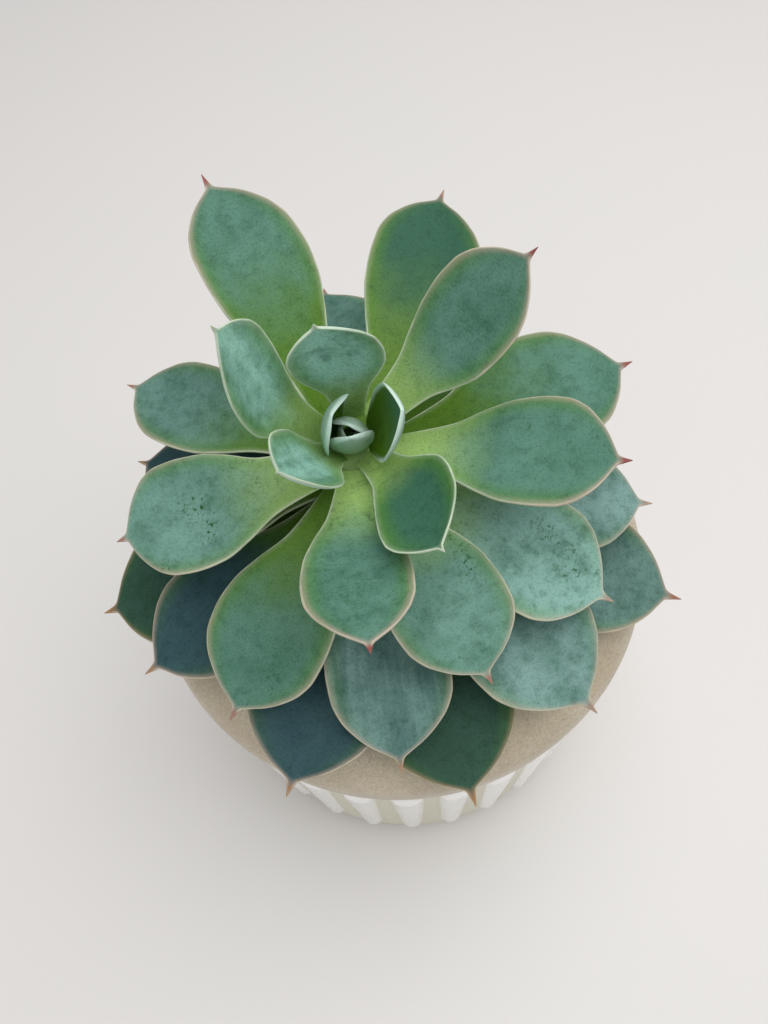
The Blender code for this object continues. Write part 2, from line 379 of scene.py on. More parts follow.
class SkinPainter:
    """Builds up a leaf's color coat by coat, guided by the numbers painted on the leaf."""

    def __init__(self, tints: LeafSkin) -> None:
        """Read what is painted on the leaf, lay out the random patterns and start with bare flesh."""
        self.tints = tints
        self.graph = graph = Graph("leaf_skin")
        self.skin = graph.attribute("skin").outputs["Vector"]
        _, self.along, self.face = graph.parts(graph.attribute("blade").outputs["Vector"])
        self.slate, self.bloom, self.blush = graph.parts(graph.attribute("tone").outputs["Vector"])
        self.moss, self.scuffed, self.fresh = graph.parts(graph.attribute("wear").outputs["Vector"])
        self.rim = graph.number("rim")
        # share of painted shade on the leaf's foot
        self.hollow = graph.number("hollow")
        self.banded = graph.number("banded")
        self.young = graph.ease(self.fresh, 0.92, 1.0)
        self.patches = graph.noise(self.skin, 0.11, 3.0)
        self.streaks = graph.noise(graph.stretch(self.skin, (1.0, 0.16, 1.0)), 0.30, 3.0, 0.5)
        self.clouds = graph.noise(self.skin, 0.38, 4.0, 0.6)
        self.grain = graph.noise(self.skin, 2.1, 3.0, 0.7)
        self.color = graph.blend(self.slate, tints.flesh, tints.slate)
        self.coat(self.moss, tints.moss)

    def coat(self, share: Input, tint: Input, mode: str = "MIX") -> None:
        """Lay a tint over the color so far.

        Args:
            share: How much of it, from 0 to 1.
            tint: The color to lay on.
            mode: Blender's blend type.
        """
        self.color = self.graph.blend(share, self.color, tint, mode)

    def add_bloom(self) -> None:
        """Lay the pale wax over the flesh, in patches."""
        ease = self.graph.ease
        cover = 0.40 + 0.60 * ease(self.patches, 0.30, 0.66) + 0.28 * ease(self.clouds, 0.35, 0.65)
        cover = cover + self.banded * ease(self.streaks, 0.42, 0.62)
        wax = self.graph.blend(self.fresh, self.tints.bloom, self.tints.young_bloom)
        self.coat(self.graph.math("MINIMUM", self.bloom * cover, 1.0), wax)

    def add_foot(self) -> None:
        """Paint a green glow of light through the flanks and turn the foot yellow-green, deeper with painted
        shade where it is shaded.
        """
        ease = self.graph.ease
        # painted glow: the flanks are tinted as if lit through their thin flesh
        flank = ease(self.rim, 5.0, 0.6) * ease(self.along, 0.98, 0.70)
        self.coat(flank * (0.32 + 0.40 * self.fresh), self.tints.glow)
        # painted shade: leaves with a shaded foot take the dark foot colour further up the blade
        shaded = self.hollow * (1.0 - self.slate) * (1.0 - self.young)
        reach = self.along * (1.0 - 0.55 * self.young - 0.42 * shaded)
        heel = ease(reach + 0.16 * (self.patches - 0.5), 0.50, 0.12)
        self.coat(heel * 0.90, self.graph.blend(self.hollow, self.tints.pale_foot, self.tints.shaded_foot))

    def add_wear(self) -> None:
        """Mottle the skin and scratch through its bloom."""
        ease, noise_at = self.graph.ease, self.graph.noise
        dark = ease(self.grain, 0.54, 0.34) * 0.36 + ease(self.clouds, 0.50, 0.30) * 0.22
        self.coat(dark, self.tints.mottle, "MULTIPLY")
        scratches = ease(noise_at(self.skin, 0.9, 5.0, 0.75), 0.54, 0.62)
        worn = ease(noise_at(self.skin, 0.085, 2.0), 0.55, 0.66)
        self.coat(scratches * worn * self.scuffed, self.tints.scuff)

    def add_back(self) -> None:
        """Turn the lower face paler."""
        under = self.graph.ease(self.face, 0.05, -0.25)
        back = self.graph.blend(self.fresh, self.tints.back, self.tints.young_back)
        self.coat(under * (0.60 + 0.25 * self.fresh - 0.35 * self.young), back)

    def add_margin(self) -> None:
        """Draw the blushed, cream-lined margin, the bud's pale lips with their painted sheen and the red
        point.
        """
        ease, blend = self.graph.ease, self.graph.blend
        warm = blend(self.moss, self.tints.rose, self.tints.rust)
        haze = ease(self.rim, 2.2, 0.2) * ease(self.along, 0.35, 0.85) * self.blush
        self.coat(haze * 0.38, warm)
        edge = blend(self.fresh, self.tints.cream, self.tints.young_cream)
        edge = blend(self.blush * ease(self.along, 0.30, 0.80) * 0.60, edge, warm)
        self.coat(ease(self.rim, 1.7, 0.3) * ease(self.along, 0.05, 0.25) * 0.16, edge)
        line = ease(self.rim + 0.5 * (self.clouds - 0.5), 0.55, 0.15) * ease(self.along, 0.02, 0.18)
        self.coat(line * (0.42 + 0.42 * ease(self.patches, 0.30, 0.60)), edge)
        # the bud's pale lips: their own pale margin, brightened with a painted sheen
        lip = ease(self.rim, 1.5, 0.4) * ease(self.along, 0.15, 0.40) * self.young
        self.coat(lip * 0.85, self.tints.young_back)
        point = blend(self.graph.math("MAXIMUM", self.moss, self.slate), self.tints.point, self.tints.rust)
        self.coat(ease(self.along, 0.945, 0.975) * self.blush, point)

    def finish(self) -> bpy.types.Material:
        """Connect the shader, with a fine relief and a soft glow through the flesh."""
        roughness = 0.50 + 0.12 * self.patches + 0.10 * self.grain
        relief = self.graph.bump(0.6 * self.grain + 0.8 * self.clouds, 0.16, 0.6)
        return self.graph.finish(self.color, roughness, relief, Subsurface_Weight=0.12,
                                 Subsurface_Radius=(0.6, 1.0, 0.25), Subsurface_Scale=1.6 * MM,
                                 Specular_IOR_Level=0.14)


@dataclass(frozen=True)
class Stoneware:
    """Glazed stoneware: tan speckled collar, cream wall, white raised drops and a bare clay foot."""

    collar: Color = (0.490, 0.415, 0.295)
    wall: Color = (0.720, 0.700, 0.540)
    drop: Color = (0.950, 0.945, 0.925)
    clay: Color = (0.360, 0.270, 0.190)
    speck: Color = (0.180, 0.110, 0.060)
    pale_speck: Color = (0.700, 0.640, 0.520)
    lip_height: float = 75.3
    foot_height: float = 2.6
    mouth_radius: float = 44.0

    def build(self) -> bpy.types.Material:
        """Return the pot's finish, banded by height and by the drops painted on its wall."""
        graph = Graph("stoneware")
        place = graph.millimetres()
        x, y, z = graph.parts(place)
        drop = graph.number("drop")
        cloud = graph.noise(place, 0.07, 4.0, 0.6)
        grain = graph.noise(place, 1.6, 3.0, 0.7)

        collar = graph.ease(z + 0.8 * (cloud - 0.5), self.lip_height - 0.5, self.lip_height + 0.3)
        color = graph.blend(collar, self.wall, self.collar)
        color = graph.blend(graph.ease(cloud, 0.35, 0.70) * 0.35, color, self.pale_speck)
        glaze = graph.ease(drop + 0.6 * (cloud - 0.5), -0.25, 0.55)
        bare = graph.ease(z + 1.2 * (cloud - 0.5), self.foot_height + 0.4, self.foot_height - 0.2)
        radius = graph.math("SQRT", x * x + y * y)
        inside = graph.ease(radius, self.mouth_radius + 0.6, self.mouth_radius)
        matt = graph.math("MAXIMUM", bare, inside)
        specks = graph.ease(graph.dots(place, 0.62), 0.20, 0.10)
        pale = graph.ease(graph.dots(graph.stretch(place, (1.0, 1.0, 1.3)), 0.83), 0.22, 0.10)
        color = graph.blend(specks * (1.0 - glaze) * 0.28, color, self.speck)
        color = graph.blend(pale * (1.0 - glaze) * 0.50, color, self.pale_speck)
        mottle = graph.ease(grain, 0.35, 0.65) * (1.0 - glaze) * 0.22
        color = graph.blend(mottle, color, self.speck, "MULTIPLY")
        color = graph.blend(glaze, color, self.drop)
        color = graph.blend(matt, color, self.clay)

        roughness = 0.36 + 0.10 * grain - 0.20 * glaze + 0.38 * matt
        shine = (1.0 - matt) * (0.25 + 0.65 * glaze)
        relief = 0.7 * grain + 1.0 * cloud - 0.5 * specks
        return graph.finish(color, roughness, graph.bump(relief, 0.12, 0.5), Coat_Weight=shine,
                            Coat_Roughness=0.12)


@dataclass(frozen=True)
class PottingMix:
    """Damp peat, bark crumbs and pale grit."""

    peat: Color = (0.030, 0.020, 0.013)
    crumb: Color = (0.110, 0.065, 0.035)
    fibre: Color = (0.200, 0.130, 0.075)
    pumice: Color = (0.560, 0.520, 0.450)
    pore: Color = (0.300, 0.240, 0.180)

    def build(self) -> bpy.types.Material:
        """Return the bed's finish."""
        graph = Graph("potting_mix")
        place = graph.millimetres()
        lumps = graph.noise(place, 0.5, 5.0, 0.7)
        fibres = graph.noise(graph.stretch(place, (1.0, 0.25, 1.0)), 1.4, 4.0, 0.6)
        color = graph.blend(graph.ease(lumps, 0.42, 0.68), self.peat, self.crumb)
        color = graph.blend(graph.ease(fibres, 0.60, 0.72) * 0.5, color, self.fibre)
        return graph.finish(color, 0.90 - 0.15 * lumps, graph.bump(lumps + 0.5 * fibres, 0.6, 0.9))

    def build_grit(self) -> bpy.types.Material:
        """Return the finish of the loose grains, each with its painted shade."""
        graph = Graph("soil_grit")
        place = graph.millimetres()
        shade = graph.number("shade")
        pores = graph.noise(place, 2.2, 4.0, 0.7)
        color = graph.blend(graph.ease(shade, 0.55, 0.62), self.crumb, self.pumice)
        color = graph.blend(graph.ease(pores, 0.60, 0.35) * 0.6, color, self.pore, "MULTIPLY")
        color = graph.blend(graph.ease(shade, 0.30, 0.02) * 0.8, color, self.peat)
        return graph.finish(color, 0.85 + 0.1 * (pores - 0.5), graph.bump(pores, 0.35, 0.8))


@dataclass(frozen=True)
class StemBark:
    """Corky stem, green where it is young and grey-brown where old leaves have dropped."""

    bark: Color = (0.200, 0.140, 0.080)
    cork: Color = (0.360, 0.280, 0.180)
    groove: Color = (0.100, 0.065, 0.040)
    young: Color = (0.210, 0.340, 0.110)
    young_from: float = 104.0
    young_to: float = 122.0

    def build(self) -> bpy.types.Material:
        """Return the stem's finish."""
        graph = Graph("stem_bark")
        place = graph.millimetres()
        height = graph.parts(place)[2]
        rings = graph.noise(graph.stretch(place, (0.25, 0.25, 1.0)), 0.9, 4.0, 0.6)
        cracks = graph.noise(place, 0.8, 5.0, 0.7)
        color = graph.blend(graph.ease(cracks, 0.35, 0.65), self.bark, self.cork)
        color = graph.blend(graph.ease(rings, 0.55, 0.70) * 0.5, color, self.groove)
        color = graph.blend(graph.ease(height + 8.0 * (cracks - 0.5), self.young_from, self.young_to), color,
                            self.young)
        return graph.finish(color, 0.62 + 0.25 * cracks, graph.bump(rings + 0.6 * cracks, 0.5, 0.8))


@dataclass(frozen=True)
class PaleFloor:
    """Plain off-white studio floor."""

    color: Color = (0.740, 0.715, 0.715)
    cool: Color = (0.715, 0.712, 0.700)

    def build(self) -> bpy.types.Material:
        """Return the floor's finish."""
        graph = Graph("pale_floor")
        place = graph.node("ShaderNodeTexCoord").outputs["Object"]
        cloud = graph.noise(place, 5.0, 3.0)
        color = graph.blend(cloud, self.color, self.cool)
        return graph.finish(color, 0.55 + 0.1 * cloud)


# ---- Pot ----
@dataclass
class Pot:
    """Turned pot with a proud rounded collar and a ring of raised drops on its wall."""

    base_radius: float = 49.0
    wall_foot_radius: float = 55.8
    wall_top_radius: float = 57.4
    foot_height: float = 9.0
    collar_bottom: float = 75.6
    collar_radius: float = 60.0
    collar_widest: float = 86.6
    collar_depth: float = 14.5
    collar_drop: float = 26.0
    height: float = 98.0
    mouth_radius: float = 44.0
    wall: float = 5.0
    floor: float = 8.0
    segments: int = 480
    drop_count: int = 30
    drop_turn: float = -4.7
    drop_top: float = 68.3
    drop_bottom: float = 12.0
    drop_half_width: float = 4.15
    drop_foot_half_width: float = 2.8
    drop_corner: float = 2.0
    drop_relief: float = 1.2
    drop_crown: float = 0.35
    drop_reach: float = 4.0

    def profile(self) -> list[tuple[float, float]]:
        """Return the outline from the middle of the base, up the outside and down the inside."""
        foot_rise = (self.wall_foot_radius - self.base_radius, self.foot_height)
        foot = arc((self.base_radius, self.foot_height), foot_rise, -90, 0, 10)
        under_collar = self.collar_bottom - 0.7
        rows = 52
        wall = [(self.wall_foot_radius + (self.wall_top_radius - self.wall_foot_radius) * row / rows,
                 self.foot_height + (under_collar - self.foot_height) * row / rows)
                for row in range(1, rows + 1)]
        middle = (self.collar_radius - self.collar_depth, self.collar_widest)
        lip = arc((self.wall_top_radius + 0.55, self.collar_bottom + 0.2), (0.85, 0.85), -90, -12, 4)
        belly = arc(middle, (self.collar_depth, self.collar_drop), -22, 0, 8)
        shoulder = arc(middle, (self.collar_depth, self.height - self.collar_widest), 0, 90, 18)
        mouth = arc((self.mouth_radius + 1.3, self.height - 1.3), (1.3, 1.3), 100, 180, 5)
        inner = self.wall_top_radius - self.wall
        inner_foot = self.wall_foot_radius - self.wall
        cavity = [(self.mouth_radius, self.height - 6.0), (self.mouth_radius, self.collar_widest),
                  (inner, self.collar_bottom + 2.0), (inner_foot, self.floor + 4.0),
                  (inner_foot - 4.0, self.floor), (0.0, self.floor)]
        underside = [(0.0, 0.7), (self.base_radius - 11.0, 0.7), (self.base_radius - 10.0, 0.45),
                     (self.base_radius - 9.4, 0.0)]
        return [*underside, *foot, *wall, (self.wall_top_radius + 0.1, under_collar + 0.1), *lip, *belly,
                *shoulder[1:], *mouth, *cavity]

    def drop_depth(self, points: Points) -> Points:
        """Measure how far each point lies inside the nearest raised drop.

        Args:
            points: Points on the wall, in millimetres.

        Returns:
            Distance to the drop's edge, positive inside it.
        """
        pitch = 2 * math.pi / self.drop_count
        azimuth = np.arctan2(points[:, 0], -points[:, 1]) - math.radians(self.drop_turn)
        offset = np.abs((azimuth + pitch / 2) % pitch - pitch / 2) * np.hypot(points[:, 0], points[:, 1])
        length = self.drop_top - self.drop_bottom
        share = np.clip((points[:, 2] - self.drop_bottom) / length, 0.0, 1.0)
        half_width = self.drop_foot_half_width + (self.drop_half_width - self.drop_foot_half_width) * share
        corner = self.drop_foot_half_width + (self.drop_corner - self.drop_foot_half_width) * share
        beside = offset - (half_width - corner)
        beyond = np.abs(points[:, 2] - self.drop_bottom - length / 2) - (length / 2 - corner)
        outside = np.hypot(np.maximum(beside, 0.0), np.maximum(beyond, 0.0))
        return corner - outside - np.minimum(np.maximum(beside, beyond), 0.0)

    def build(self, finish: bpy.types.Material) -> bpy.types.Object:
        """Turn the pot, raise its drops and paint where they are.

        Args:
            finish: The stoneware finish.

        Returns:
            The pot.
        """
        pot = finish_piece("stoneware_pot", spin_profile(self.profile(), self.segments), finish, "stoneware",
                           ("pot",))
        points = read_points(pot.data)
        radius = np.hypot(points[:, 0], points[:, 1])
        level = (points[:, 2] > 2.0) & (points[:, 2] < self.collar_bottom - 0.5)
        on_wall = level & (radius > self.wall_foot_radius - 3.0)
        depth = np.where(on_wall, self.drop_depth(points), -self.drop_reach)
        rise = self.drop_relief * smooth_step(depth, -0.1, 1.4)
        rise += self.drop_crown * smooth_step(depth, 1.0, 3.6)
        points[:, :2] *= (1.0 + rise / np.maximum(radius, 1.0))[:, None]
        write_points(pot.data, points)
        paint_number(pot.data, "drop", np.clip(depth, -self.drop_reach, self.drop_reach))
        return pot


# ---- Soil and stem ----
@dataclass
class SoilBed:
    """Potting mix in the pot, with loose grains lying on it."""

    pot: Pot
    top: float = 90.0
    gap: float = 0.35
    grain_count: int = 420
    seed: int = 11

    def surface_height(self, x: float, y: float) -> float:
        """Return the bed's height at a place, lumpy and a little lower at the rim."""
        radius = math.hypot(x, y)
        lumps = noise.fractal(Vector((x, y, 3.0)) * 0.16, 1.0, 2.0, 4)
        fall = max(radius - (self.pot.mouth_radius - 8.0), 0.0) / 8.0
        return self.top - 0.9 - fall + 0.8 * lumps

    def build(self, finish: bpy.types.Material) -> bpy.types.Object:
        """Return the bed, a closed solid that fills the cavity up to its lumpy top."""
        rim = self.pot.mouth_radius - self.gap
        inner = self.pot.wall_top_radius - self.pot.wall - self.gap
        foot = self.pot.wall_foot_radius - self.pot.wall - self.gap
        base = self.pot.floor + self.gap
        rows = 44
        skirt = [(0.0, base), (foot - 4.0, base), (foot, base + 4.0), (inner, self.pot.collar_bottom + 1.6),
                 (rim, self.pot.collar_widest - self.gap)]
        top = [(rim * (1.0 - row / rows), self.top - 1.0) for row in range(rows + 1)]
        bed = finish_piece("soil_bed", spin_profile([*skirt, *top], 180), finish, "soil", ("potting_soil",))
        points = read_points(bed.data)
        upper = points[:, 2] > self.top - 1.5
        points[upper, 2] = [self.surface_height(x, y) for x, y in points[upper, :2]]
        write_points(bed.data, points)
        return bed

    def build_grains(self, finish: bpy.types.Material) -> bpy.types.Object:
        """Return the loose grit and bark crumbs, joined in one piece."""
        rng = np.random.default_rng(self.seed)
        builder = bmesh.new()
        shades = []
        for _ in range(self.grain_count):
            reach = (self.pot.mouth_radius - 2.5) * math.sqrt(rng.uniform(0.03, 1.0))
            turn = rng.uniform(0.0, 2 * math.pi)
            x, y = reach * math.cos(turn), reach * math.sin(turn)
            size = rng.uniform(0.5, 1.5) if rng.uniform() < 0.85 else rng.uniform(1.5, 2.3)
            grain = bmesh.ops.create_icosphere(builder, subdivisions=1, radius=size * MM)["verts"]
            for vert in grain:
                vert.co *= 1.0 + rng.uniform(-0.28, 0.28)
            spread = Matrix.Diagonal((rng.uniform(0.8, 1.5), rng.uniform(0.7, 1.1), rng.uniform(0.45, 0.9),
                                      1.0))
            turned = Euler(rng.uniform(-0.5, 0.5, 2).tolist() + [turn * 3.0]).to_matrix().to_4x4()
            lying = Matrix.Translation(Vector((x, y, self.surface_height(x, y) + 0.25 * size)) * MM)
            bmesh.ops.transform(builder, matrix=lying @ turned @ spread, verts=grain)
            shades.extend([rng.uniform()] * len(grain))
        grains = finish_piece("soil_grains", builder, finish, "soil", sharp_angle=35.0)
        paint_number(grains.data, "shade", np.array(shades))
        return grains


@dataclass
class Stem:
    """The leaning stem that all leaves grow on."""

    root: Vector = field(default_factory=lambda: Vector((0.0, 0.0, 78.0)))
    axis_top: Vector = field(default_factory=lambda: Vector((-7.0, 2.0, 138.0)))
    radius: float = 5.6
    shoulder: float = 124.0
    tip: float = 135.5
    segments: int = 64
    stations: int = 110

    def axis_point(self, height: float) -> Vector:
        """Return the point of the stem's axis at a height."""
        return self.root.lerp(self.axis_top, (height - self.root.z) / (self.axis_top.z - self.root.z))

    def build(self, finish: bpy.types.Material) -> bpy.types.Object:
        """Return the stem, ringed with the scars of dropped leaves."""
        builder = unit_tube(self.segments, self.stations)
        for vert in builder.verts:
            height = self.root.z + (self.tip - self.root.z) * vert.co.z
            dome = max(height - self.shoulder, 0.0) / (self.tip - self.shoulder)
            radius = (self.radius - 0.35 - 0.3 * vert.co.z) * math.sqrt(1.0 - 0.98 * dome * dome)
            turn = math.atan2(vert.co.y, vert.co.x)
            scar = max(math.sin(height * 1.9 + 2.0 * turn), 0.0) ** 3 * 0.28
            rough = 0.22 * noise.noise(Vector((3.0 * vert.co.x, 3.0 * vert.co.y, height * 0.5)))
            out = Vector((math.cos(turn), math.sin(turn), 0.0)) * (radius + scar + rough)
            vert.co = (self.axis_point(height) + out) * MM
        bmesh.ops.recalc_face_normals(builder, faces=builder.faces)
        return finish_piece("stem_bark", builder, finish, "stem", ("stem",))


# ---- Rosette ----
class Tone(NamedTuple):
    """How a leaf's skin is tinted; every share goes from 0 to 1."""

    slate: float
    bloom: float
    blush: float
    moss: float
    scuffed: float
    fresh: float
    # share of painted shade on the foot, from the pale lit foot to the dark shaded foot
    hollow: float
    banded: float = 0.1


class Skin(Enum):
    """The kinds of leaf skin on the plant, from the bud down to the oldest leaves."""

    BUD = Tone(0.0, 0.10, 0.0, 0.0, 0.0, 1.0, 1.0, 0.0)
    # pale waxy young skin whose full bloom also stands in for a painted highlight on the leaf
    LIT_MIST = Tone(0.0, 1.0, 0.10, 0.0, 0.1, 0.9, 0.1, 0.2)
    JADE = Tone(0.0, 0.0, 0.05, 0.10, 0.1, 0.9, 0.1, 0.0)
    MIST = Tone(0.0, 0.65, 0.15, 0.0, 0.2, 0.9, 0.3, 0.5)
    PRIME = Tone(0.10, 0.22, 0.95, 0.0, 0.5, 0.6, 0.0)
    REAR = Tone(0.08, 0.22, 0.90, 0.0, 0.3, 0.6, 1.0)
    DEEP = Tone(0.05, 0.0, 0.60, 0.30, 0.3, 0.8, 0.8, 0.0)
    WORN = Tone(0.12, 0.45, 0.70, 0.0, 1.0, 0.4, 0.2)
    FRONT = Tone(0.15, 0.18, 0.70, 0.0, 0.6, 0.5, 0.9)
    PALE = Tone(0.10, 0.95, 0.50, 0.0, 0.9, 0.35, 0.2)
    FROST = Tone(0.30, 0.85, 0.50, 0.0, 0.1, 0.0, 0.6)
    BANDED = Tone(0.65, 0.40, 0.60, 0.0, 0.1, 0.0, 0.6, 0.7)
    SHADE = Tone(0.35, 0.35, 0.70, 0.15, 0.4, 0.3, 1.0)
    FERN = Tone(0.0, 0.0, 0.40, 0.60, 0.2, 0.3, 1.0)
    SLATE = Tone(0.95, 0.08, 0.70, 0.0, 0.2, 0.0, 1.0, 0.2)
    MOSS = Tone(0.40, 0.05, 0.75, 0.80, 0.3, 0.1, 1.0, 0.1)
    AGED = Tone(0.40, 0.50, 0.80, 0.30, 0.3, 0.0, 0.8)


BUD_LEAVES = 6
FIRST_OLD_LEAF = 18


@dataclass(frozen=True)
class Leaf:
    """One leaf: where it grows, how it lies, how large it is and what skin it has (degrees, mm)."""

    index: int
    turn: float
    rise: float
    bend: float
    length: float
    width: float
    roll: float = 0.0
    sweep: float = 0.0
    cup: float = 22.0
    skew: float = 0.0
    skin: Skin = Skin.SHADE

    @property
    def node(self) -> str:
        """Name of the CAD node that the leaf stands for."""
        if self.index < 0:
            return f"bud_leaf_{self.index + BUD_LEAVES + 1}"
        return f"leaf_{self.index + 1:02d}"

    @property
    def slot(self) -> str:
        """Material slot of the leaf, by its age."""
        if self.index < 0:
            return "young_leaf"
        return "leaf" if self.index < FIRST_OLD_LEAF else "old_leaf"


LEAVES = (
    Leaf(-6, 0, 76, 30, 6.5, 4.5, cup=50, skin=Skin.BUD),
    Leaf(-5, 0, 76, 34, 8.5, 6, cup=50, skin=Skin.BUD),
    Leaf(-4, 10, 78, 44, 11.5, 8.5, cup=50, skin=Skin.BUD),
    Leaf(-3, 0, 76, 28, 13.5, 10, cup=50, skin=Skin.BUD),
    Leaf(-2, 18, 74, 34, 17, 13, cup=45, skin=Skin.BUD),
    Leaf(-1, 0, 60, 24, 21, 15.5, cup=40, skin=Skin.BUD),
    Leaf(0, 0, 66, 0, 29, 16, sweep=-3, cup=35, skew=-0.1, skin=Skin.MIST),
    Leaf(1, 1, 64, 15, 32, 17.5, roll=9, sweep=10, cup=26, skew=0.4, skin=Skin.LIT_MIST),
    Leaf(2, 0, 49, 0, 37, 18, cup=30, skew=-0.5, skin=Skin.JADE),
    Leaf(3, -10, 56, 13, 39.5, 16, sweep=-5, cup=28, skew=-0.7, skin=Skin.MIST),
    Leaf(4, 3, 30, 6, 46, 20, roll=-3, sweep=-8, cup=27, skew=0.2, skin=Skin.PRIME),
    Leaf(5, 9.5, 15, 10, 46.5, 20, sweep=10, cup=20, skew=0.1, skin=Skin.PRIME),
    Leaf(6, -3, 32, -4, 58.5, 24, roll=4, sweep=4, cup=26, skin=Skin.REAR),
    Leaf(7, 7, 13, 0, 48, 26, sweep=-8, cup=17, skew=-0.1, skin=Skin.PRIME),
    Leaf(8, -7, -1, -20, 48.5, 27.5, roll=-4, sweep=-5, cup=24, skew=-0.2, skin=Skin.WORN),
    Leaf(9, -2, 21, -12, 59.5, 26, roll=5, cup=27, skew=0.3, skin=Skin.DEEP),
    Leaf(10, 6, -9, -8, 47, 25, skin=Skin.WORN),
    Leaf(11, 0, -5, -3, 57, 24, sweep=2, cup=20, skew=-0.2, skin=Skin.SHADE),
    Leaf(12, 2.5, 7, -4, 55.5, 28.5, roll=2, sweep=-3, skin=Skin.REAR),
    Leaf(13, 1, -12, -2, 52, 26, cup=15, skew=0.1, skin=Skin.FRONT),
    Leaf(14, -2, -6, -7, 57.5, 26.5, skin=Skin.SHADE),
    Leaf(15, 5, -6, -6, 52, 27.5, skin=Skin.PALE),
    Leaf(16, 2, -10, -4, 43, 23, skin=Skin.FERN),
    Leaf(17, 0, -8, -6, 46, 24, skin=Skin.FERN),
    Leaf(18, 2, -13, 2, 55.5, 25.5, sweep=3, skin=Skin.BANDED),
    Leaf(19, 0, -12, -4, 52, 25, skin=Skin.SLATE),
    Leaf(20, -1, -8, -1, 57, 27.5, roll=3, skin=Skin.FROST),
    Leaf(21, 0, -13, 2, 56.5, 26.5, sweep=-3, skin=Skin.SLATE),
    Leaf(22, 0, -9, -4, 54, 25, skin=Skin.FERN),
    Leaf(23, 8.5, -6, -5, 60.5, 29.5, sweep=-3, skin=Skin.FROST),
    Leaf(24, -2, -14, 2, 57.5, 26, roll=5, sweep=-5, skin=Skin.SLATE),
    Leaf(25, 0, -9, -4, 54, 26, skin=Skin.FERN),
    Leaf(26, 4, -10, 4, 60, 29, roll=-3, sweep=-4, skin=Skin.SLATE),
    Leaf(27, 0, -8, -4, 54, 26, skin=Skin.MOSS),
    Leaf(28, 2, -10, 2, 65, 30, roll=4, sweep=3, skin=Skin.AGED),
    Leaf(29, 1, -8, -6, 61.5, 31, roll=-4, sweep=-5, skin=Skin.MOSS),
    Leaf(30, 0, -6, -3, 54, 26, skin=Skin.MOSS),
    Leaf(31, 1.5, -6, -8, 62, 30, roll=2, skin=Skin.MOSS),
)


